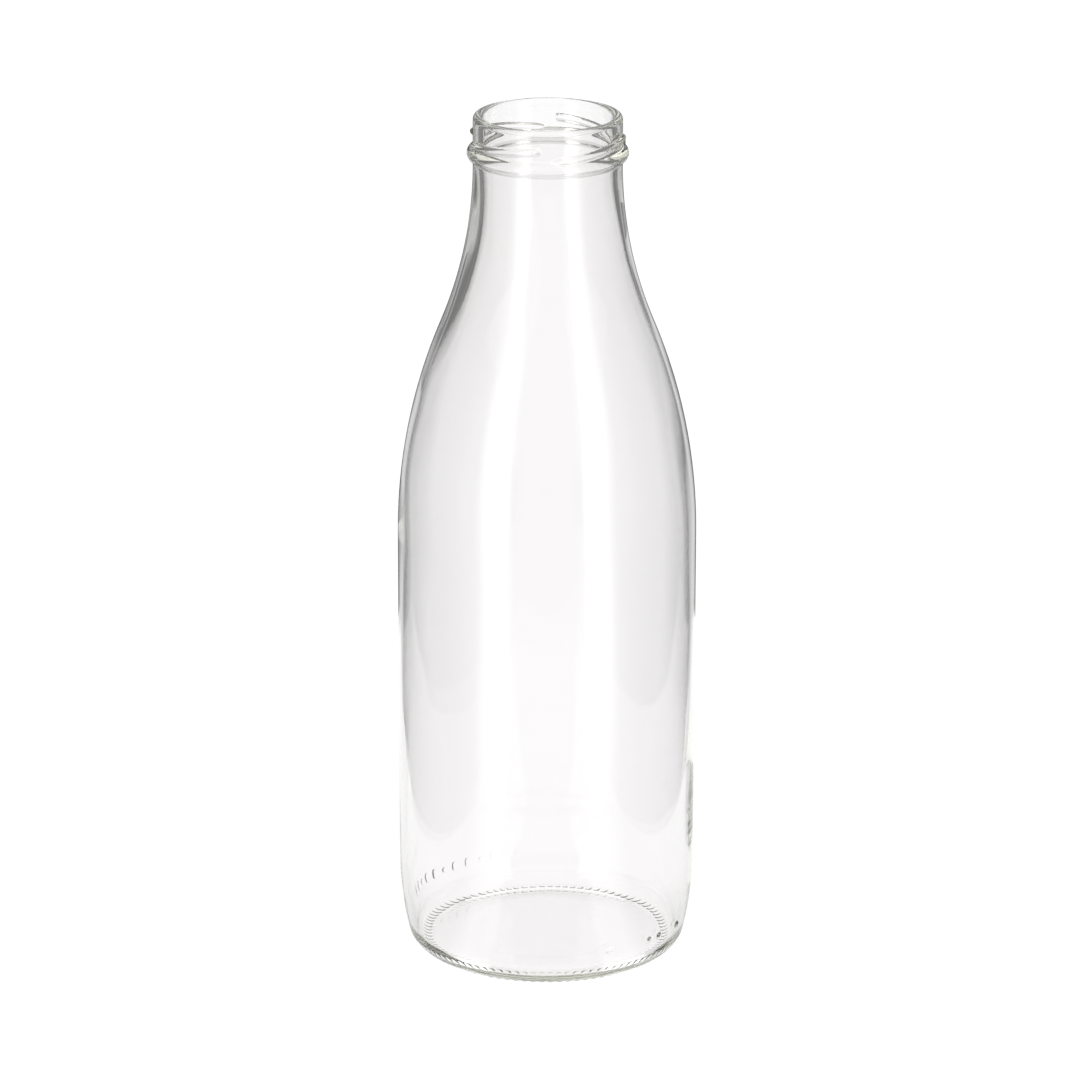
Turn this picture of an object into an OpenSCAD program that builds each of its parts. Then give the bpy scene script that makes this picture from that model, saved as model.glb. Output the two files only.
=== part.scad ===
// Wide-mouth milk bottle, one litre, moulded in one piece of clear glass.
// Millimetres, +Z up. The origin is on the bottle's axis, in the plane it stands on.

/* [Bottle] */
// Overall height, from the table to the lip
height = 255; // [210:1:310]
// Diameter of the straight side
body_d = 88; // [72:0.5:108]
// Thickness of the glass in the side, shoulder and neck
wall = 2.4; // [1.8:0.1:3.2]

/* [Shoulder and neck] */
// Radius of the outward curve from the side into the shoulder
shoulder_r = 165; // [120:5:200]
// Radius of the hollow curve from the shoulder into the neck
neck_curve_r = 125; // [90:5:160]

/* [Finish] */
// Inside diameter of the mouth
bore_d = 37.6; // [32:0.1:46]
// Thickness of the glass round the mouth
finish_wall = 2.9; // [2.4:0.1:3.6]
// How far the closure bead, the ring below the lugs, stands out from the wall
bead_reach = 1.75; // [1.2:0.05:2.5]
// Height of the closure bead
bead_h = 6.1; // [4:0.1:8]
// Height from the bead's middle up to the middle of the lugs' lower ends
bead_gap = 1.9; // [1.5:0.1:4]

/* [Closure lugs] */
// Number of lugs that a twist-off cap hooks under
lug_count = 4; // [3:1:6]
// How far a lug stands out from the wall
lug_reach = 1.1; // [0.8:0.1:1.6]
// Height of a lug's ridge
lug_h = 2.3; // [1.6:0.1:3]
// Depth of a lug's leading end below the lip, at the ridge's middle
lug_drop = 5.8; // [5:0.1:7]
// How much further a lug's other end lies below the lip
lug_fall = 3.6; // [2:0.1:5]
// Angle that one lug runs round the neck
lug_sweep = 88; // [40:1:110]
// Direction of the first lug's leading end, from +X towards +Y
lug_start = -6; // [-180:1:180]

/* [Base] */
// Height at which the heel's curve meets the straight side
heel_h = 28; // [20:1:40]
// Distance in from the side to the middle of the ring that the bottle stands on
bearing_inset = 8.7; // [7:0.1:12]
// Radius between the heel's curve and the standing ring
heel_corner_r = 6.2; // [3:0.1:7]
// Height of the hollow under the base, above the standing ring
push_up_h = 0.9; // [0.6:0.1:2]
// Width of the sloping band between the standing ring and the hollow's flat middle
push_up_band = 12; // [8:0.5:16]
// Lowest point of the inside, above the table
floor_h = 3.3; // [3:0.1:8]
// How much higher the inside's flat middle is
floor_rise = 0.9; // [0.6:0.1:2]
// Width of the sloping band between the inside's lowest point and its flat middle
floor_band = 12; // [8:0.5:16]
// Radius inside, between the floor and the side
floor_corner_r = 4.5; // [3:0.5:8]

/* [Knurls] */
// Number of small ribs round the standing ring
knurl_count = 90; // [60:2:100]
// Length of a rib, across the ring
knurl_l = 2.8; // [2:0.1:4]
// Width of a rib
knurl_w = 1.2; // [0.8:0.1:1.6]
// Height of a rib's flat foot below the ring
knurl_h = 0.3; // [0.2:0.1:0.8]

/* [Mould marks] */
// Height of the marks on the heel
mark_z = 11; // [8:0.5:16]
// Radius of a mark's round head
mark_r = 0.9; // [0.5:0.1:1.2]
// How far a mark stands out from the glass
mark_reach = 0.45; // [0.2:0.05:0.5]
// Number of plain studs in the row on the back of the heel
stud_count = 12; // [4:1:16]
// Direction of the row's first stud, from +X towards +Y
stud_start = 102; // [0:1:180]
// Angle between one stud and the next
stud_step = 6; // [4:0.5:8]

/* [Hidden] */
$fn = 128;

GLASS = [0.87, 0.91, 0.89, 0.4];
STEPS = 10;         // pieces in each arc of the outline
PIP_ANGLES = [-64, -44, -38, -24]; // round pips on the front of the heel
LUG_RINGS = 16;     // cross-sections along a lug
LUG_SIDES = 8;      // points round a lug's cross-section
LUG_ROOT = 0.7;     // how deep a lug is rooted in the wall
LUG_END = 0.35;     // share of a lug's reach that is left at its ends
KNURL_ROOT = 0.5;   // how deep a rib is rooted in the ring's glass
BEAD_CREST = 0.62;  // share of the bead's curve that is its round crest
BAND_FOOT = 0.3;    // share of the band's curve next to the standing ring
FLOOR_TROUGH = 0.3; // share of the floor's curve that is the trough round its edge

side_r = body_d / 2;
bore_r = bore_d / 2;
lip_r = bore_r + finish_wall;
lip_round = finish_wall / 2;
bead_z = height - lug_drop - lug_fall - bead_gap;
neck_z = bead_z - bead_h / 2;

// Two arcs in a row, bending one way and then back, carry an outline aside by `shift`.
// The outline leaves them in the direction it came, after `bend_length`.
function bend_length(r1, r2, shift) = sqrt(shift * (2 * (r1 + r2) - shift));

// The two arcs' radii together, when the outline is carried `shift` aside over `length`
function bend_radii(length, shift) = (length * length + shift * shift) / (2 * shift);

function bend(r1, r2, shift) =
    let (turn = acos(1 - shift / (r1 + r2)), end = bend_length(r1, r2, shift))
    concat(
        [for (i = [0:STEPS]) let (a = turn * i / STEPS) [r1 * sin(a), r1 * (1 - cos(a))]],
        [for (i = [1:STEPS])
            let (a = turn * (1 - i / STEPS))
            [end - r2 * sin(a), shift - r2 * (1 - cos(a))]]
    );

function arc(centre, r, from, to) =
    [for (i = [0:STEPS]) let (a = from + (to - from) * i / STEPS) centre + r * [cos(a), sin(a)]];

function reversed(points) = [for (i = [len(points) - 1:-1:0]) points[i]];

// Shoulder: the straight side ends where two arcs, one out and one in, reach the neck.
shoulder_z = neck_z - bend_length(shoulder_r, neck_curve_r, side_r - lip_r);

function shoulder(from_r, to_r, inset) =
    [for (p = bend(shoulder_r - inset, neck_curve_r + inset, from_r - to_r))
        [from_r - p[1], shoulder_z + p[0]]];

// Heel: one long arc that leaves the side and meets the small arc of the standing ring.
bearing_r = side_r - bearing_inset;
corner_z = knurl_h + heel_corner_r;
heel_r = (pow(heel_corner_r, 2) - pow(bearing_inset, 2) - pow(heel_h - corner_z, 2))
    / (2 * (heel_corner_r - bearing_inset));
heel_centre = [side_r - heel_r, heel_h];
heel_turn = atan2(heel_h - corner_z, bearing_r - heel_centre[0]);

function heel_radius_at(z) = heel_centre[0] + sqrt(pow(heel_r, 2) - pow(heel_h - z, 2));

// Floor: a round corner that touches the inside of the heel, and a rise over the hollow underneath.
floor_corner_z = floor_h + floor_corner_r;
inner_heel_r = heel_r - wall;
floor_corner_x = heel_centre[0]
    + sqrt(pow(inner_heel_r - floor_corner_r, 2) - pow(heel_h - floor_corner_z, 2));
floor_turn = atan2(heel_h - floor_corner_z, floor_corner_x - heel_centre[0]);

// Hollow under the base, from the standing ring in to its flat middle
function underside() =
    let (radii = bend_radii(push_up_band, push_up_h))
    [for (p = bend(BAND_FOOT * radii, (1 - BAND_FOOT) * radii, push_up_h))
        [bearing_r - p[0], knurl_h + p[1]]];

function heel() = concat(
    arc([bearing_r, corner_z], heel_corner_r, -90, -heel_turn),
    arc(heel_centre, heel_r, -heel_turn, 0)
);

function bead_half() =
    let (radii = bend_radii(bead_h / 2, bead_reach))
    bend((1 - BEAD_CREST) * radii, BEAD_CREST * radii, bead_reach);

function bead() = concat(
    [for (p = bead_half()) [lip_r + p[1], neck_z + p[0]]],
    [for (p = reversed(bead_half())) [lip_r + p[1], bead_z + bead_h / 2 - p[0]]]
);

function lip() = arc([bore_r + lip_round, height - lip_round], lip_round, 0, 180);

function cavity() =
    let (radii = bend_radii(floor_band, floor_rise))
    concat(
        reversed(shoulder(side_r - wall, bore_r, wall)),
        arc(heel_centre, inner_heel_r, 0, -floor_turn),
        arc([floor_corner_x, floor_corner_z], floor_corner_r, -floor_turn, -90),
        [for (p = bend(FLOOR_TROUGH * radii, (1 - FLOOR_TROUGH) * radii, floor_rise))
            [floor_corner_x - p[0], floor_h + p[1]]],
        [[0, floor_h + floor_rise]]
    );

// A point that repeats the one before it would leave an edge with no length.
function without_repeats(points) =
    [for (i = [0:len(points) - 1]) if (i == 0 || norm(points[i] - points[i - 1]) > 0.001) points[i]];

module glass_wall() {
    rotate_extrude()
        polygon(without_repeats(concat(
            [[0, knurl_h + push_up_h]], reversed(underside()), heel(),
            shoulder(side_r, lip_r, 0), bead(), lip(), cavity()
        )));
}

// One lug: a half-oval ridge that runs round the wall, falls on its way, and fades at both ends.
module lug() {
    rings = [
        for (i = [0:LUG_RINGS])
            let (
                t = i / LUG_RINGS,
                a = -lug_sweep * t,
                fade = LUG_END + (1 - LUG_END) * sqrt(sin(180 * t)),
                ridge = lug_h / 2 * (1 + fade) / 2,
                z = height - lug_drop - lug_fall * t
            )
            [for (j = [0:LUG_SIDES - 1])
                let (
                    b = -90 + 180 * j / (LUG_SIDES - 1),
                    r = lip_r - LUG_ROOT + (LUG_ROOT + lug_reach * fade) * cos(b)
                )
                [r * cos(a), r * sin(a), z + ridge * sin(b)]]
    ];
    points = [for (ring = rings) each ring];
    sides = [
        for (i = [0:LUG_RINGS - 1], j = [0:LUG_SIDES - 1])
            let (k = (j + 1) % LUG_SIDES, here = i * LUG_SIDES, next = here + LUG_SIDES)
            [here + j, next + j, next + k, here + k]
    ];
    first = [for (j = [0:LUG_SIDES - 1]) j];
    last = [for (j = [LUG_SIDES - 1:-1:0]) LUG_RINGS * LUG_SIDES + j];
    polyhedron(points, concat(sides, [first, last]), convexity = 4);
}

module lugs() {
    for (i = [0:lug_count - 1])
        rotate(lug_start + i * 360 / lug_count)
            lug();
}

module knurls() {
    for (i = [0:knurl_count - 1])
        rotate(i * 360 / knurl_count)
            translate([bearing_r - knurl_l / 2, -knurl_w / 2, 0])
                cube([knurl_l, knurl_w, knurl_h + KNURL_ROOT]);
}

module heel_mark(direction) {
    rotate(direction)
        translate([heel_radius_at(mark_z) + mark_reach - mark_r, 0, mark_z])
            sphere(mark_r);
}

module heel_marks() {
    for (direction = PIP_ANGLES)
        heel_mark(direction);
    for (i = [0:stud_count - 1])
        heel_mark(stud_start + i * stud_step);
}

module bottle() {
    color(GLASS) {
        glass_wall();
        lugs();
        knurls();
        heel_marks();
    }
}

bottle();
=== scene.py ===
import math

import bpy
import numpy as np
from bpy.props import FloatProperty, FloatVectorProperty, IntProperty, PointerProperty
from mathutils import Euler, Matrix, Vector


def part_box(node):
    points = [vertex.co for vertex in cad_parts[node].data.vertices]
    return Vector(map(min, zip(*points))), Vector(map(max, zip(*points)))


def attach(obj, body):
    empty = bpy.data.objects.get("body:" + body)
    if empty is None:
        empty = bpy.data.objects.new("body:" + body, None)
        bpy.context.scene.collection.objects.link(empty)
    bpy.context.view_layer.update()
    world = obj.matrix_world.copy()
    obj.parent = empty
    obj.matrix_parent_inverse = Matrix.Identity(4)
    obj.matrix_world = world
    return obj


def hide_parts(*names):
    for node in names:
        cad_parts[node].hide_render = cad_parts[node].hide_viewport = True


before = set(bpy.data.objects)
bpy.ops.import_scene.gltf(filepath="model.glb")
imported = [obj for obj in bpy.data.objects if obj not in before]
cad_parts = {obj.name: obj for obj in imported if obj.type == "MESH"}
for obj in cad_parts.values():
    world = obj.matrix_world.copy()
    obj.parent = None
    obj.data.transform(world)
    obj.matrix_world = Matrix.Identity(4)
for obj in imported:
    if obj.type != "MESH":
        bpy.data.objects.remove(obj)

bl_info = {
    "name": "Glass Milk Bottle",
    "version": (1, 0, 0),
    "blender": (4, 5, 0),
    "location": "3D View > Sidebar > Milk Bottle",
    "description": "Makes a moulded one-litre glass milk bottle and the white table it is shown on",
    "category": "Add Mesh",
}

NODE = "bottle"
BODY = "root"
LOW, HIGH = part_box(NODE)
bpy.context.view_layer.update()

FULL_TURN = 2 * math.pi
MM = 0.001

# Directions of the round pips on the front of the heel, in degrees from +X towards +Y
PIP_DIRECTIONS = (-64, -44, -38, -24)

# Thickness of the blown wall in millimetres, at even steps from the heel up to the top of the neck,
# on the -X side and on the +X side
WALL_LEFT = (1.8, 1.9, 1.6, 1.6, 1.8, 1.5, 2.0, 3.2, 3.5, 3.5)
WALL_RIGHT = (2.1, 1.8, 1.8, 1.8, 1.9, 2.0, 1.9, 1.8, 2.0, 2.8)

# Brightness of the ring of screens by direction, in degrees from the front, alike on both sides. The screens
# show only in mirror images:
# the two peaks are painted reflections of the front softboxes and of a pair of narrow lamps behind, and the
# low stretches paint a dark room.
SCREEN_PAINTED_REFLECTION = (
    (0, 0.7),
    (28, 0.7),
    (32, 2.2),
    (43, 2.2),
    (58, 0.5),
    (80, 0.22),
    (145, 0.2),
    (151, 0.7),
    (160, 0.7),
    (167, 0.12),
    (180, 0.12),
)

# Brightness of the table by direction, the same way: a painted sheen, the softboxes' reflection glowing on a
# table that shows only in mirror images
TABLE_PAINTED_SHEEN = (
    (0, 0.95),
    (27, 0.95),
    (31, 1.5),
    (44, 1.5),
    (56, 0.85),
    (90, 0.8),
    (180, 1.1),
)

# Slow waves in blown glass: waves round the bottle, waves up its height, phase, share of the amplitude
GLASS_WAVES = (
    (2, 1.3, 0.4, 0.30),
    (3, 2.1, 1.9, 0.24),
    (5, 0.8, 3.1, 0.18),
    (7, 3.4, 5.2, 0.12),
    (11, 1.7, 2.6, 0.09),
    (16, 2.9, 4.3, 0.07),
)

# Shares of a curve that its first arc takes
BAND_FOOT = 0.3
FLOOR_TROUGH = 0.3
BEAD_FOOT = 0.38

# Lengths of the mesh's steps along the outline, short where the glass turns fast
BEAD_STEP = 0.25 * MM
RELIEF_STEP = 0.35 * MM
HOLLOW_STEP = 0.5 * MM
CORNER_STEP = 0.8 * MM
FLOOR_STEP = 1 * MM
FLOOR_CORNER_STEP = 1.2 * MM
HEEL_STEP = 1.5 * MM
UPPER_HEEL_STEP = 2 * MM
FLAT_STEP = 2.5 * MM
LONG_CURVE_STEP = 3 * MM
INNER_SIDE_STEP = 4 * MM
SIDE_STEP = 5 * MM

# How far the finely divided stretches reach past the ribs' ends, and up and down from the marks' middle
RIB_MARGIN = 0.5 * MM
MARK_BAND = 3 * MM

# How steep a rib's flanks are, and how full a mark's section is: 0.5 would be a half round
RIB_STEEPNESS = 2
MARK_FULLNESS = 0.6
# Every third mark in the row is round, and the others are bars
MARK_PATTERN = 3

# Shares of a lug's length over which it rises and runs out, and of its height left at its ends
LUG_RISE = 0.05
LUG_RUN_OUT = 0.12
LUG_END_HEIGHT = 0.6

# Height below the bead's top over which the inside turns from true to uneven
CALM_RUN = 30 * MM

# A point nearer to the axis than this lies on it
ON_AXIS = 1e-9

# Smears on the glass: size, detail, and the part of the noise that is hazy
SMEAR_SCALE = 60.0
SMEAR_DETAIL = 3.0
SMEAR_FROM = 0.5
SMEAR_TO = 0.8
RIPPLE_DETAIL = 1.0

# Sine of the height above the horizon at which the mirrored ceiling has its full brightness
HORIZON_BLEND = 0.1

# Sides of the round floor and of the ring of screens
FLOOR_SEGMENTS = 128
SCREEN_SEGMENTS = 144

# How far the mirrored table lies below the floor
TABLE_DROP = 0.5 * MM

# Width of the camera's sensor in millimetres
SENSOR_WIDTH = 36.0

# How often light may turn on the glass, and pass through what is fully clear
GLASS_BOUNCES = 64
CLEAR_BOUNCES = 16


# Properties

def length(name, default, description):
    """A size in metres."""
    return FloatProperty(name=name, description=description, default=default, unit="LENGTH", precision=5)


def angle(name, degrees, description):
    """An angle, given in degrees."""
    return FloatProperty(
        name=name, description=description, default=math.radians(degrees), subtype="ANGLE"
    )


def count(name, default, description):
    """A whole number above zero."""
    return IntProperty(name=name, description=description, default=default, min=1)


def amount(name, default, description):
    """A plain number."""
    return FloatProperty(name=name, description=description, default=default, precision=4)


def colour(name, rgb, description):
    """A colour in linear light."""
    return FloatVectorProperty(
        name=name, description=description, default=rgb, subtype="COLOR", size=3, min=0.0, max=1.0
    )


class BottleBody(bpy.types.PropertyGroup):
    height: length("Height", HIGH.z - LOW.z, "Overall height, from the table to the lip")
    diameter: length("Diameter", HIGH.x - LOW.x, "Diameter of the straight side")
    wall: length("Wall", 2.4 * MM, "Thickness of the glass in the side, shoulder and neck")
    shoulder_r: length("Shoulder radius", 165 * MM, "Outward curve from the side into the shoulder")
    neck_curve_r: length("Neck curve radius", 125 * MM, "Hollow curve from the shoulder into the neck")
    unevenness: length("Unevenness", 0.22 * MM, "How far the inside wanders from a true round")


class BottleFinish(bpy.types.PropertyGroup):
    bore_d: length("Mouth", 37.6 * MM, "Inside diameter of the mouth")
    wall: length("Mouth wall", 2.9 * MM, "Thickness of the glass round the mouth")
    bead_reach: length("Bead reach", 1.75 * MM, "How far the closure bead stands out")
    bead_h: length("Bead height", 6.1 * MM, "Height of the closure bead")
    bead_gap: length("Bead gap", 1.9 * MM, "From the bead's middle up to the lugs' lower ends")
    lugs: count("Lugs", 4, "Number of lugs that a twist-off cap hooks under")
    lug_reach: length("Lug reach", 1.15 * MM, "How far a lug stands out")
    lug_h: length("Lug height", 2.3 * MM, "Height of a lug's ridge")
    lug_drop: length("Lug drop", 5.8 * MM, "Depth of a lug's leading end below the lip")
    lug_fall: length("Lug fall", 3.6 * MM, "How much lower a lug's other end lies")
    lug_sweep: angle("Lug sweep", 86, "Angle that one lug runs round the neck")
    lug_start: angle("Lug start", -5, "Direction of the first lug's leading end")


class BottleBase(bpy.types.PropertyGroup):
    heel_h: length("Heel height", 28 * MM, "Where the heel's curve meets the straight side")
    bearing_inset: length("Ring inset", 8.7 * MM, "From the side in to the middle of the standing ring")
    corner_r: length("Heel corner", 6.2 * MM, "Radius between the heel and the standing ring")
    push_up_h: length("Push-up height", 0.9 * MM, "Height of the hollow under the base")
    push_up_band: length("Push-up band", 12 * MM, "Width of the slope round the hollow")
    floor_h: length("Floor height", 3.3 * MM, "Lowest point of the inside")
    floor_rise: length("Floor rise", 0.9 * MM, "How much higher the inside's flat middle is")
    floor_band: length("Floor band", 12 * MM, "Width of the slope round the inside's flat middle")
    floor_corner_r: length("Floor corner", 4.5 * MM, "Radius inside, between floor and side")
    knurls: count("Knurls", 90, "Number of ribs round the standing ring")
    knurl_in: length("Knurl inside", 0.8 * MM, "Length of a rib, inwards from the ring's middle")
    knurl_out: length("Knurl outside", 3.0 * MM, "Length of a rib, outwards and up round the heel's corner")
    knurl_h: length("Knurl height", 0.3 * MM, "Height of a rib")


class BottleMarks(bpy.types.PropertyGroup):
    height: length("Mark height", 11 * MM, "Height of the marks on the heel")
    pip_r: length("Pip radius", 0.95 * MM, "Radius of a round mark")
    bar_h: length("Bar height", 3.2 * MM, "Height of a bar mark")
    pip_reach: length("Pip reach", 0.6 * MM, "How far a round mark on the front stands out")
    row_reach: length("Row reach", 0.35 * MM, "How far a mark in the row on the back stands out")
    row: count("Marks in the row", 12, "Number of plain marks on the back of the heel")
    row_start: angle("Row start", 102, "Direction of the row's first mark")
    row_step: angle("Row step", 6, "Angle between one mark and the next")


class BottleGlass(bpy.types.PropertyGroup):
    clear: colour("Surface tint", (0.975, 0.967, 0.970), "What each wall's surfaces let through")
    depth: colour("Depth tint", (0.86, 0.868, 0.78), "Colour of the light that thick glass lets through")
    density: amount("Density", 12.0, "How fast thick glass takes on its colour, per metre")
    ior: amount("Refraction index", 1.52, "How much the glass bends light")
    haze: amount("Haze", 0.02, "Most roughness of the surface")
    ripple: length("Ripple", 0.02 * MM, "Height of the fine ripple on the surface")
    ripple_size: length("Ripple size", 18 * MM, "Width of one wave of the ripple")


class Studio(bpy.types.PropertyGroup):
    floor_r: length("Floor radius", 6.0, "Radius of the white floor")
    white: amount("White", 1.05, "Brightness of the floor and the room behind the bottle")
    table_w: length("Table width", 0.30, "Width of the white table that the glass mirrors")
    table_front: length("Table front", 0.39, "From the bottle to the table's front edge")
    table_back: length("Table back", 0.30, "From the bottle to the table's rear edge")
    screen_r: length("Screen distance", 1.3, "Distance from the bottle to the ring of screens")
    screen_low: length("Screen foot", -1.6, "Height of the screens' lower edge")
    screen_high: length("Screen top", 0.95, "Height of the screens' upper edge")
    rear_high: length("Rear screen top", 0.06, "Height of the rear screen's upper edge")
    rear_from: angle("Rear screen from", 150, "Direction at which the screens drop to the rear one's height")
    ceiling_light: amount("Ceiling light", 0.9, "Brightness of the ceiling in the glass")
    ground_light: amount("Ground light", 0.25, "Brightness of the ground below the table in the glass")
    camera_back: length("Camera distance", 1.6236, "Level distance from the bottle's axis to the camera")
    camera_up: length("Camera height", 0.6537, "Height of the camera above the floor")
    camera_side: length("Camera offset", -2.06 * MM, "How far the camera stands to +X")
    camera_pitch: angle("Camera pitch", 18.01, "How far down the camera looks")
    camera_roll: angle("Camera roll", 0.1, "How far the camera leans")
    camera_lens: amount("Lens", 192.76, "Focal length on a 36 mm sensor, in millimetres")


# Outline

class Stretch:
    """Part of the outline: its points (r, z), how many segments go round, and its relief."""

    def __init__(self, points, segments, relief=None):
        self.points = np.array(points)
        self.segments = segments
        self.relief = relief


def steps(distance, step):
    """An even number of steps, none longer than step."""
    return 2 * max(1, math.ceil(distance / step / 2))


def arc(centre, r, start, end, step):
    """Points on a round arc, angles in radians."""
    turn = np.linspace(start, end, steps(abs(end - start) * r, step) + 1)
    return np.stack([centre[0] + r * np.cos(turn), centre[1] + r * np.sin(turn)], axis=1)


def smooth_rise(share):
    """0 below 0, 1 above 1, smooth between."""
    share = np.clip(share, 0, 1)
    return share * share * (3 - 2 * share)


def smooth_steps(place, places, values):
    """The values' course, level at each of them and smooth between."""
    i = np.clip(np.searchsorted(places, place, side="right") - 1, 0, len(places) - 2)
    values = np.array(values)
    share = smooth_rise((place - np.take(places, i)) / (places[1] - places[0]))
    return values[i] * (1 - share) + values[i + 1] * share


def line(start, end, step):
    """Points on a straight line."""
    share = np.linspace(0, 1, steps(math.dist(start, end), step) + 1)[:, None]
    return np.array(start) * (1 - share) + np.array(end) * share


def bend_length(r1, r2, shift):
    """How far two arcs in a row run while they carry the outline aside by shift."""
    return math.sqrt(shift * (2 * (r1 + r2) - shift))


def bend_radii(run, shift):
    """Both radii together, for two arcs that carry the outline aside by shift over run."""
    return (run * run + shift * shift) / (2 * shift)


def bend(r1, r2, shift, step):
    """Two arcs in a row that carry the outline aside by shift: (run, aside) points."""
    turn = math.acos(1 - shift / (r1 + r2))
    end = bend_length(r1, r2, shift)
    first = np.linspace(0, turn, steps(turn * r1, step) + 1)
    last = np.linspace(turn, 0, steps(turn * r2, step) + 1)[1:]
    run = np.concatenate([r1 * np.sin(first), end - r2 * np.sin(last)])
    aside = np.concatenate([r1 * (1 - np.cos(first)), shift - r2 * (1 - np.cos(last))])
    return run, aside


def points(r, z):
    """Radii and heights as rows (r, z)."""
    return np.stack([r, z], axis=1)


class Outline:
    """The bottle's section, worked out from its sizes, with the reliefs that stand on it."""

    COARSE = 240
    FINE = 3 * COARSE

    def __init__(self, body, finish, base, marks):
        self.body = body
        self.finish = finish
        self.base = base
        self.marks = marks
        self.side_r = body.diameter / 2
        self.bore_r = finish.bore_d / 2
        self.lip_r = self.bore_r + finish.wall
        self.bead_z = body.height - finish.lug_drop - finish.lug_fall - finish.bead_gap
        self.neck_z = self.bead_z - finish.bead_h / 2
        self.bead_top = self.bead_z + finish.bead_h / 2
        self.shoulder_z = self.neck_z - bend_length(
            body.shoulder_r, body.neck_curve_r, self.side_r - self.lip_r
        )
        self.ring_r = self.side_r - base.bearing_inset
        self.corner_z = base.knurl_h + base.corner_r
        rise = base.heel_h - self.corner_z
        self.heel_r = (base.corner_r**2 - base.bearing_inset**2 - rise**2) / (
            2 * (base.corner_r - base.bearing_inset)
        )
        self.heel_x = self.side_r - self.heel_r
        self.heel_turn = math.atan2(rise, self.ring_r - self.heel_x)

    # outside, from the axis under the base up to the lip

    def underside(self):
        base = self.base
        radii = bend_radii(base.push_up_band, base.push_up_h)
        run, aside = bend(BAND_FOOT * radii, (1 - BAND_FOOT) * radii, base.push_up_h, HOLLOW_STEP)
        slope = points(self.ring_r - run, base.knurl_h + aside)[::-1]
        middle = line((0.0, slope[0, 1]), slope[0], FLAT_STEP)[:-1]
        foot = base.knurl_in + RIB_MARGIN
        flat = slope[slope[:, 0] < self.ring_r - foot]
        ring = slope[slope[:, 0] >= self.ring_r - foot]
        return np.concatenate([middle, flat]), ring

    def corner(self):
        """The heel's corner: its ribbed foot, next to the standing ring, and its plain upper part."""
        base = self.base
        centre = (self.ring_r, self.corner_z)
        split = -math.pi / 2 + (base.knurl_out + RIB_MARGIN) / base.corner_r
        ribbed = arc(centre, base.corner_r, -math.pi / 2, split, RELIEF_STEP)
        plain = arc(centre, base.corner_r, split, -self.heel_turn, CORNER_STEP)
        return ribbed[1:], plain[1:]

    def heel(self):
        """The heel's long curve: below the marks, with the marks, and above them."""
        centre = (self.heel_x, self.base.heel_h)
        low, high = (
            -math.asin((self.base.heel_h - self.marks.height - side) / self.heel_r)
            for side in (-MARK_BAND, MARK_BAND)
        )
        below = arc(centre, self.heel_r, -self.heel_turn, low, HEEL_STEP)
        marked = arc(centre, self.heel_r, low, high, RELIEF_STEP)
        above = arc(centre, self.heel_r, high, 0.0, UPPER_HEEL_STEP)
        return below[1:], marked[1:], above[1:]

    def shoulder(self, wall, top_r, step):
        body = self.body
        bottom_r = self.side_r - wall
        run, aside = bend(body.shoulder_r - wall, body.neck_curve_r + wall, bottom_r - top_r, step)
        return points(bottom_r - aside, self.shoulder_z + run)

    def bead(self):
        finish = self.finish
        radii = bend_radii(finish.bead_h / 2, finish.bead_reach)
        run, aside = bend(BEAD_FOOT * radii, (1 - BEAD_FOOT) * radii, finish.bead_reach, BEAD_STEP)
        lower = points(self.lip_r + aside, self.neck_z + run)
        upper = points(self.lip_r + aside, self.bead_top - run)[::-1]
        return np.concatenate([lower, upper[1:]])

    def lip(self):
        round_r = self.finish.wall / 2
        top = self.body.height - round_r
        wall = line((self.lip_r, self.bead_top), (self.lip_r, top), BEAD_STEP)[1:]
        return wall, arc((self.bore_r + round_r, top), round_r, 0.0, math.pi, BEAD_STEP)[1:]

    # inside, from the lip down to the axis

    def cavity(self):
        base = self.base
        wall = self.body.wall
        down = self.shoulder(wall, self.bore_r, LONG_CURVE_STEP)[::-1]
        side = line(down[-1], (self.side_r - wall, base.heel_h), INNER_SIDE_STEP)[1:]
        inner_r = self.heel_r - wall
        corner_z = base.floor_h + base.floor_corner_r
        corner_x = self.heel_x + math.sqrt(
            (inner_r - base.floor_corner_r) ** 2 - (base.heel_h - corner_z) ** 2
        )
        turn = math.atan2(base.heel_h - corner_z, corner_x - self.heel_x)
        heel = arc((self.heel_x, base.heel_h), inner_r, 0.0, -turn, HEEL_STEP)[1:]
        corner_centre = (corner_x, corner_z)
        corner = arc(corner_centre, base.floor_corner_r, -turn, -math.pi / 2, FLOOR_CORNER_STEP)[1:]
        radii = bend_radii(base.floor_band, base.floor_rise)
        run, aside = bend(FLOOR_TROUGH * radii, (1 - FLOOR_TROUGH) * radii, base.floor_rise, FLOOR_STEP)
        floor = points(corner_x - run, base.floor_h + aside)[1:]
        middle = line(floor[-1], (0.0, base.floor_h + base.floor_rise), LONG_CURVE_STEP)[1:]
        lip_end = (self.bore_r, self.body.height - self.finish.wall / 2)
        bore = line(lip_end, down[0], HEEL_STEP)[1:]
        return bore, np.concatenate([down[1:], side, heel, corner, floor, middle])

    def stretches(self):
        middle, ring = self.underside()
        ribbed, corner = self.corner()
        below, marked, above = self.heel()
        shoulder = self.shoulder(0.0, self.lip_r, LONG_CURVE_STEP)
        side = line(above[-1], shoulder[0], SIDE_STEP)[1:]
        wall, lip = self.lip()
        bore, cavity = self.cavity()
        return [
            Stretch(middle, self.COARSE),
            Stretch(np.concatenate([ring, ribbed]), self.FINE, self.knurl_relief),
            Stretch(np.concatenate([corner, below]), self.COARSE),
            Stretch(marked, self.FINE, self.mark_relief),
            Stretch(np.concatenate([above, side, shoulder[1:-1]]), self.COARSE),
            Stretch(np.concatenate([self.bead(), wall]), self.COARSE, self.lug_relief),
            Stretch(lip, self.COARSE),
            Stretch(np.concatenate([bore, cavity]), self.COARSE, self.blown_relief),
        ]

    # reliefs: how far (dr, dz) each point (direction, r, z) moves

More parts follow.
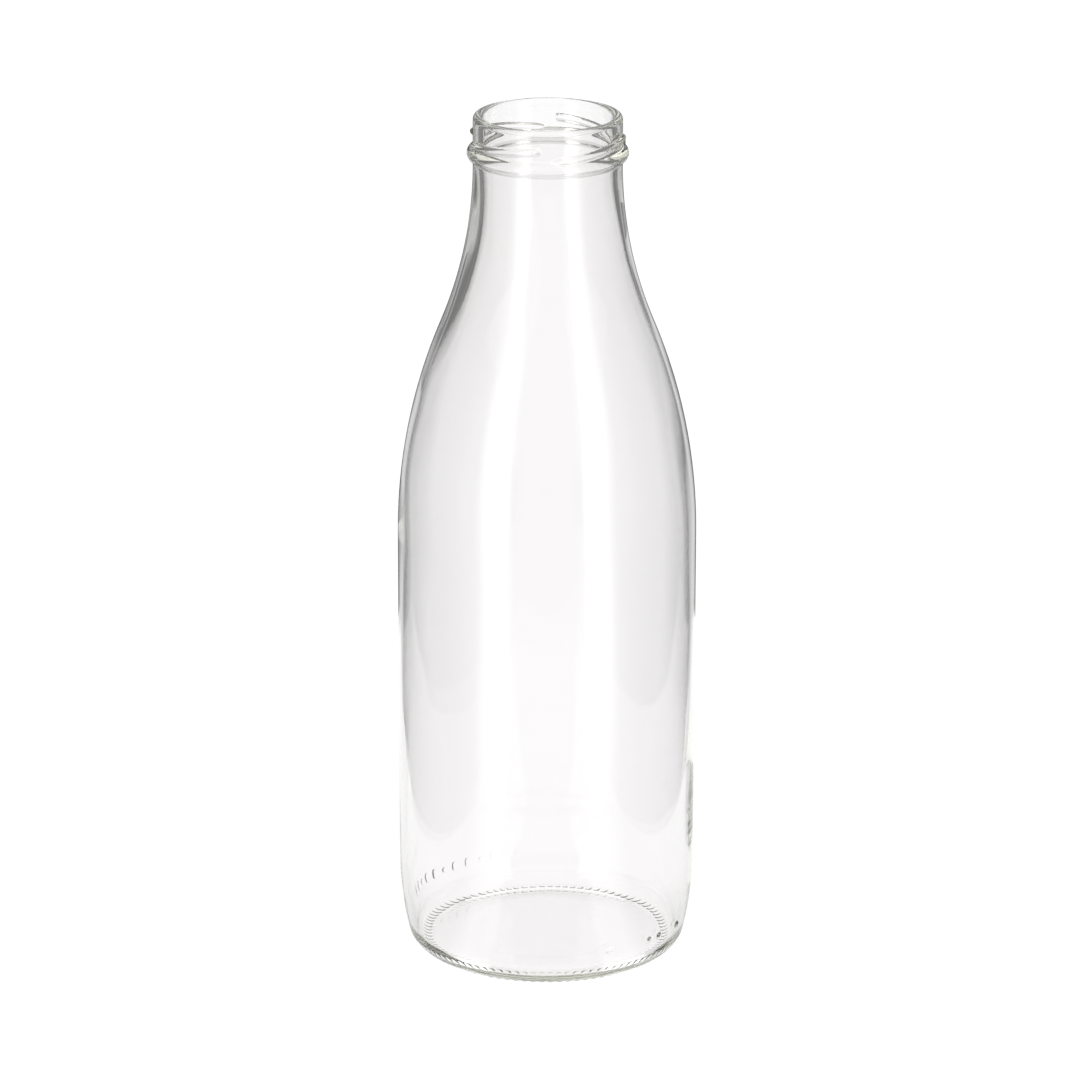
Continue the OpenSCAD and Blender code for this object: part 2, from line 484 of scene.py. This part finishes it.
    def knurl_relief(self, turn, r, z):
        """Small ribs round the standing ring, which stand on the table and run up the heel's corner."""
        base = self.base
        across = np.tanh(RIB_STEEPNESS * np.cos(base.knurls * turn)) / math.tanh(RIB_STEEPNESS)
        rib = (1 + across) / 2
        outside = r > self.ring_r
        slope = np.where(outside, np.arctan2(r - self.ring_r, self.corner_z - z), 0)
        outwards = slope * base.corner_r / base.knurl_out
        along = np.where(outside, outwards, (self.ring_r - r) / base.knurl_in)
        stand = base.knurl_h * rib * np.sqrt(np.clip(1 - along**2, 0, 1))
        return stand * np.sin(slope), -np.minimum(stand, z) * np.cos(slope)

    def mark_relief(self, turn, r, z):
        """Round pips on the front of the heel, and a row of bars and pips on its back."""
        marks = self.marks
        out = np.zeros_like(r)

        def raise_mark(direction, half_h, reach):
            side = np.angle(np.exp(1j * (turn - direction))) * r / marks.pip_r
            up = np.clip(np.abs(z - marks.height) - (half_h - marks.pip_r), 0, None) / marks.pip_r
            np.maximum(out, reach * np.clip(1 - side**2 - up**2, 0, 1) ** MARK_FULLNESS, out=out)

        for degrees in PIP_DIRECTIONS:
            raise_mark(math.radians(degrees), marks.pip_r, marks.pip_reach)
        for i in range(marks.row):
            half_h = marks.bar_h / 2 if i % MARK_PATTERN else marks.pip_r
            raise_mark(marks.row_start + i * marks.row_step, half_h, marks.row_reach)
        return out, np.zeros_like(r)

    def lug_relief(self, turn, r, z):
        """Ridges that a cap's lugs hook under. They fall clockwise and run out into the bead."""
        finish = self.finish
        out = np.zeros_like(r)
        for i in range(finish.lugs):
            start = finish.lug_start + i * FULL_TURN / finish.lugs
            along = np.mod(start - turn, FULL_TURN) / finish.lug_sweep
            fade = smooth_rise(along / LUG_RISE) * smooth_rise((1 - along) / LUG_RUN_OUT)
            middle = self.body.height - finish.lug_drop - finish.lug_fall * along
            half = finish.lug_h / 2 * (LUG_END_HEIGHT + (1 - LUG_END_HEIGHT) * fade)
            ridge = np.sqrt(np.clip(1 - ((z - middle) / half) ** 2, 0, 1))
            np.maximum(out, finish.lug_reach * fade * ridge, out=out)
        return np.maximum(0, self.lip_r + out - r) * (out > 0), np.zeros_like(r)

    def blown_relief(self, turn, r, z):
        """The uneven inside of a blown wall: true at the mouth and at the axis."""
        body = self.body
        up = z / body.height
        wave = np.zeros_like(r)
        for around, height, phase, share in GLASS_WAVES:
            wave += share * np.sin(around * turn + FULL_TURN * height * up + phase)
        place = (z - self.base.heel_h) / (self.neck_z - self.base.heel_h)
        heights = np.linspace(0, 1, len(WALL_LEFT))
        left = smooth_steps(place, heights, WALL_LEFT) * MM
        right = smooth_steps(place, heights, WALL_RIGHT) * MM
        thick = (left + right) / 2 + (right - left) / 2 * np.cos(turn)
        calm = smooth_rise((self.bead_top - z) / CALM_RUN) * smooth_rise(r / self.bore_r)
        return calm * (body.wall - thick + body.unevenness * wave), np.zeros_like(r)


# Mesh

def ring_faces(first, n, second, m):
    """Faces between two rings of n and m points, which begin at the points first and second.

    Either n and m are equal, or one is 3 times the other.
    """
    if n == m:
        i = np.arange(n)
        j = (i + 1) % n
        return np.stack([first + i, first + j, second + j, second + i], axis=1).tolist()
    made = []
    widen = m > n
    few, many = (first, second) if widen else (second, first)
    for i in range(min(n, m)):
        a, b = few + i, few + (i + 1) % min(n, m)
        f = [many + (3 * i + k) % max(n, m) for k in range(4)]
        faces = [[a, f[1], f[0]], [a, b, f[2], f[1]], [b, f[3], f[2]]]
        made += faces if widen else [face[::-1] for face in faces]
    return made


def revolve(stretches):
    """Vertices and faces of the closed surface that the outline sweeps."""
    verts, faces = [], []
    total, before = 0, None
    for stretch in stretches:
        n = stretch.segments
        turn = np.linspace(0, FULL_TURN, n, endpoint=False)
        for r, z in stretch.points:
            if r < ON_AXIS:
                verts.append(np.array([[0.0, 0.0, z]]))
                count_here = 1
            else:
                rr, zz = np.full(n, r), np.full(n, z)
                if stretch.relief:
                    dr, dz = stretch.relief(turn, rr, zz)
                    rr, zz = rr + dr, zz + dz
                verts.append(np.stack([rr * np.cos(turn), rr * np.sin(turn), zz], axis=1))
                count_here = n
            if before is not None:
                start, size = before
                if size == 1:
                    faces += [[start, total + (i + 1) % n, total + i] for i in range(n)]
                elif count_here == 1:
                    faces += [[start + i, start + (i + 1) % size, total] for i in range(size)]
                else:
                    faces += ring_faces(start, size, total, n)
            before = (total, count_here)
            total += count_here
    return np.concatenate(verts), faces


def make_mesh(name, verts, faces):
    mesh = bpy.data.meshes.new(name)
    mesh.from_pydata(verts.tolist(), [], faces)
    mesh.polygons.foreach_set("use_smooth", [True] * len(mesh.polygons))
    mesh.validate()
    mesh.update()
    piece = bpy.data.objects.new(name, mesh)
    bpy.context.scene.collection.objects.link(piece)
    return piece


# Materials

def new_material(name):
    material = bpy.data.materials.new(name)
    material.use_nodes = True
    material.node_tree.nodes.clear()
    return material, material.node_tree.nodes, material.node_tree.links


def glass_material(look):
    """Clear bottle glass: fire-polished, a little rippled, grey-green where it is thick."""
    material, nodes, links = new_material("clear_bottle_glass")
    out = nodes.new("ShaderNodeOutputMaterial")
    glass = nodes.new("ShaderNodeBsdfPrincipled")
    glass.inputs["Base Color"].default_value = (*look.clear, 1.0)
    glass.inputs["Transmission Weight"].default_value = 1.0
    glass.inputs["IOR"].default_value = look.ior
    place = nodes.new("ShaderNodeTexCoord")
    smear = nodes.new("ShaderNodeTexNoise")
    smear.inputs["Scale"].default_value = SMEAR_SCALE
    smear.inputs["Detail"].default_value = SMEAR_DETAIL
    haze = nodes.new("ShaderNodeMapRange")
    haze.inputs["From Min"].default_value = SMEAR_FROM
    haze.inputs["From Max"].default_value = SMEAR_TO
    haze.inputs["To Max"].default_value = look.haze
    wave = nodes.new("ShaderNodeTexNoise")
    wave.inputs["Scale"].default_value = 1.0 / look.ripple_size
    wave.inputs["Detail"].default_value = RIPPLE_DETAIL
    bump = nodes.new("ShaderNodeBump")
    bump.inputs["Distance"].default_value = look.ripple
    depth = nodes.new("ShaderNodeVolumeAbsorption")
    depth.inputs["Color"].default_value = (*look.depth, 1.0)
    depth.inputs["Density"].default_value = look.density
    links.new(place.outputs["Object"], smear.inputs["Vector"])
    links.new(smear.outputs["Fac"], haze.inputs["Value"])
    links.new(haze.outputs["Result"], glass.inputs["Roughness"])
    links.new(place.outputs["Object"], wave.inputs["Vector"])
    links.new(wave.outputs["Fac"], bump.inputs["Height"])
    links.new(bump.outputs["Normal"], glass.inputs["Normal"])
    links.new(glass.outputs["BSDF"], out.inputs["Surface"])
    links.new(depth.outputs["Volume"], out.inputs["Volume"])
    return material


def glow(nodes, brightness):
    """A node that glows white."""
    light = nodes.new("ShaderNodeEmission")
    light.inputs["Strength"].default_value = brightness
    return light


def mirrored(nodes, links):
    """1 for what is seen in a mirror image on the glass, 0 for what is seen straight or through it."""
    path = nodes.new("ShaderNodeLightPath")
    test = nodes.new("ShaderNodeMath")
    test.operation = "GREATER_THAN"
    test.inputs[1].default_value = 0.5
    links.new(path.outputs["Glossy Depth"], test.inputs[0])
    return test.outputs["Value"]


def studio_material(name, brightness, in_mirror):
    """Glows white. in_mirror is True for what shows only in mirror images, False for what never does."""
    material, nodes, links = new_material(name)
    out = nodes.new("ShaderNodeOutputMaterial")
    mix = nodes.new("ShaderNodeMixShader")
    nothing = nodes.new("ShaderNodeBsdfTransparent")
    light = glow(nodes, brightness)
    first, second = (nothing, light) if in_mirror else (light, nothing)
    links.new(mirrored(nodes, links), mix.inputs["Fac"])
    links.new(first.outputs[0], mix.inputs[1])
    links.new(second.outputs[0], mix.inputs[2])
    links.new(mix.outputs["Shader"], out.inputs["Surface"])
    material.cycles.emission_sampling = "NONE"
    return material


def mirrored_material(name, course):
    """Glows brighter and darker by direction from the bottle, as painted reflections of the studio. It shows
    only in mirror images.
    """
    brightest = max(light for _, light in course)
    material = studio_material(name, brightest, True)
    nodes, links = material.node_tree.nodes, material.node_tree.links
    place = nodes.new("ShaderNodeTexCoord")
    split = nodes.new("ShaderNodeSeparateXYZ")
    side = nodes.new("ShaderNodeMath")
    side.operation = "ABSOLUTE"
    front = nodes.new("ShaderNodeMath")
    front.operation = "MULTIPLY"
    front.inputs[1].default_value = -1.0
    direction = nodes.new("ShaderNodeMath")
    direction.operation = "ARCTAN2"
    share = nodes.new("ShaderNodeMath")
    share.operation = "DIVIDE"
    share.inputs[1].default_value = math.pi
    ramp = nodes.new("ShaderNodeValToRGB")
    stops = ramp.color_ramp.elements
    for i, (degrees, light) in enumerate(course):
        stop = stops[i] if i < 2 else stops.new(1.0)
        stop.position = degrees / 180
        stop.color = (light / brightest, light / brightest, light / brightest, 1.0)
    links.new(place.outputs["Object"], split.inputs["Vector"])
    links.new(split.outputs["X"], side.inputs[0])
    links.new(split.outputs["Y"], front.inputs[0])
    links.new(side.outputs["Value"], direction.inputs[0])
    links.new(front.outputs["Value"], direction.inputs[1])
    links.new(direction.outputs["Value"], share.inputs[0])
    links.new(share.outputs["Value"], ramp.inputs["Fac"])
    light = next(node for node in nodes if node.type == "EMISSION")
    links.new(ramp.outputs["Color"], light.inputs["Color"])
    return material


def studio_world(studio):
    """A white room. In mirror images only, it shows a painted reflection: its ceiling is white and the
    ground below the table is dark.
    """
    world = bpy.data.worlds.new("white_room")
    world.use_nodes = True
    nodes, links = world.node_tree.nodes, world.node_tree.links
    nodes.clear()
    out = nodes.new("ShaderNodeOutputWorld")
    room = nodes.new("ShaderNodeBackground")
    place = nodes.new("ShaderNodeTexCoord")
    split = nodes.new("ShaderNodeSeparateXYZ")
    height = nodes.new("ShaderNodeMapRange")
    height.inputs["From Min"].default_value = 0.0
    height.inputs["From Max"].default_value = HORIZON_BLEND
    height.inputs["To Min"].default_value = studio.ground_light
    height.inputs["To Max"].default_value = studio.ceiling_light
    level = nodes.new("ShaderNodeMapRange")
    level.inputs["To Min"].default_value = studio.white
    links.new(place.outputs["Generated"], split.inputs["Vector"])
    links.new(split.outputs["Z"], height.inputs["Value"])
    links.new(height.outputs["Result"], level.inputs["To Max"])
    links.new(mirrored(nodes, links), level.inputs["Value"])
    links.new(level.outputs["Result"], room.inputs["Strength"])
    links.new(room.outputs["Background"], out.inputs["Surface"])
    world.cycles.sampling_method = "NONE"
    bpy.context.scene.world = world


# Operators

class BOTTLE_OT_glass(bpy.types.Operator):
    """Make the moulded glass bottle"""

    bl_idname = "milk_bottle.glass"
    bl_label = "Glass Bottle"
    bl_options = {"REGISTER", "UNDO"}

    def execute(self, context):
        scene = context.scene
        outline = Outline(
            scene.bottle_body, scene.bottle_finish, scene.bottle_base, scene.bottle_marks
        )
        verts, faces = revolve(outline.stretches())
        piece = make_mesh("bottle_glass", verts, faces)
        piece.data.materials.append(glass_material(scene.bottle_glass))
        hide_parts(NODE)
        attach(piece, BODY)
        return {"FINISHED"}


class BOTTLE_OT_stage(bpy.types.Operator):
    """Make the white table, the ring of screens that paints reflections of softboxes and lamps into the
    glass, the room and the camera
    """

    bl_idname = "milk_bottle.stage"
    bl_label = "Stage"
    bl_options = {"REGISTER", "UNDO"}

    def execute(self, context):
        studio = context.scene.bottle_studio
        self.camera(context.scene, studio)
        self.floor(studio)
        self.table(studio)
        self.screens(studio)
        studio_world(studio)
        self.long_paths(context.scene)
        context.scene.view_settings.view_transform = "Standard"
        return {"FINISHED"}

    def floor(self, studio):
        turn = np.linspace(0, FULL_TURN, FLOOR_SEGMENTS, endpoint=False)
        verts = np.stack([np.cos(turn), np.sin(turn), 0 * turn], axis=1) * studio.floor_r
        floor = make_mesh("white_floor", verts, [list(range(len(turn)))])
        floor.data.materials.append(studio_material("white_floor", studio.white, False))

    def table(self, studio):
        x, z = studio.table_w / 2, -TABLE_DROP
        front, back = -studio.table_front, studio.table_back
        corners = [(-x, front, z), (x, front, z), (x, back, z), (-x, back, z)]
        # A glowing table that shows only in mirror images, with the softboxes' reflection painted on it as a
        # sheen
        table = make_mesh("mirrored_table_painted_sheen", np.array(corners), [(0, 1, 2, 3)])
        table.data.materials.append(mirrored_material("mirrored_table_painted_sheen", TABLE_PAINTED_SHEEN))

    def screens(self, studio):
        n = SCREEN_SEGMENTS
        turn = np.linspace(0, FULL_TURN, n, endpoint=False)
        from_front = np.abs(np.angle(np.exp(1j * (turn + math.pi / 2))))
        top = np.where(from_front < studio.rear_from, studio.screen_high, studio.rear_high)
        around = np.stack([np.cos(turn), np.sin(turn)], axis=1) * studio.screen_r
        foot_ring = np.column_stack([around, np.full(n, studio.screen_low)])
        top_ring = np.column_stack([around, top])
        verts = np.concatenate([foot_ring, top_ring])
        # A glowing ring that shows only in mirror images: painted reflections of softboxes, lamps and a dark
        # room
        screens = make_mesh("screen_ring_painted_reflection", verts, ring_faces(0, n, n, n))
        screens.data.materials.append(mirrored_material("screen_ring_painted_reflection", SCREEN_PAINTED_REFLECTION))

    def long_paths(self, scene):
        """Lets light run on through the base's thick glass, which turns black where it is cut off."""
        scene.cycles.max_bounces = GLASS_BOUNCES
        scene.cycles.transmission_bounces = GLASS_BOUNCES
        scene.cycles.glossy_bounces = GLASS_BOUNCES
        scene.cycles.transparent_max_bounces = CLEAR_BOUNCES

    def camera(self, scene, studio):
        lens = bpy.data.cameras.new("camera")
        lens.lens = studio.camera_lens
        lens.sensor_width = SENSOR_WIDTH
        camera = bpy.data.objects.new("camera", lens)
        camera.location = (studio.camera_side, -studio.camera_back, studio.camera_up)
        level = Euler((math.pi / 2 - studio.camera_pitch, 0.0, 0.0)).to_matrix()
        camera.rotation_euler = (level @ Matrix.Rotation(studio.camera_roll, 3, "Z")).to_euler()
        scene.collection.objects.link(camera)
        scene.camera = camera


class BOTTLE_PT_panel(bpy.types.Panel):
    """Lists the steps and their sizes"""

    bl_idname = "BOTTLE_PT_panel"
    bl_label = "Milk Bottle"
    bl_space_type = "VIEW_3D"
    bl_region_type = "UI"
    bl_category = "Milk Bottle"

    def draw(self, context):
        for operator in OPERATORS:
            self.layout.operator(operator.bl_idname)
        for group in GROUPS:
            box = self.layout.box()
            box.label(text=group.replace("_", " ").capitalize())
            settings = getattr(context.scene, group)
            for name in settings.__annotations__:
                box.prop(settings, name)


GROUPS = {
    "bottle_body": BottleBody,
    "bottle_finish": BottleFinish,
    "bottle_base": BottleBase,
    "bottle_marks": BottleMarks,
    "bottle_glass": BottleGlass,
    "bottle_studio": Studio,
}
OPERATORS = (BOTTLE_OT_glass, BOTTLE_OT_stage)


def register():
    for kind in (*GROUPS.values(), *OPERATORS, BOTTLE_PT_panel):
        bpy.utils.register_class(kind)
    for name, kind in GROUPS.items():
        setattr(bpy.types.Scene, name, PointerProperty(type=kind))


def unregister():
    for name in GROUPS:
        delattr(bpy.types.Scene, name)
    for kind in reversed((*GROUPS.values(), *OPERATORS, BOTTLE_PT_panel)):
        bpy.utils.unregister_class(kind)


def main():
    register()
    bpy.ops.milk_bottle.glass()
    bpy.ops.milk_bottle.stage()


if __name__ == "__main__":
    main()
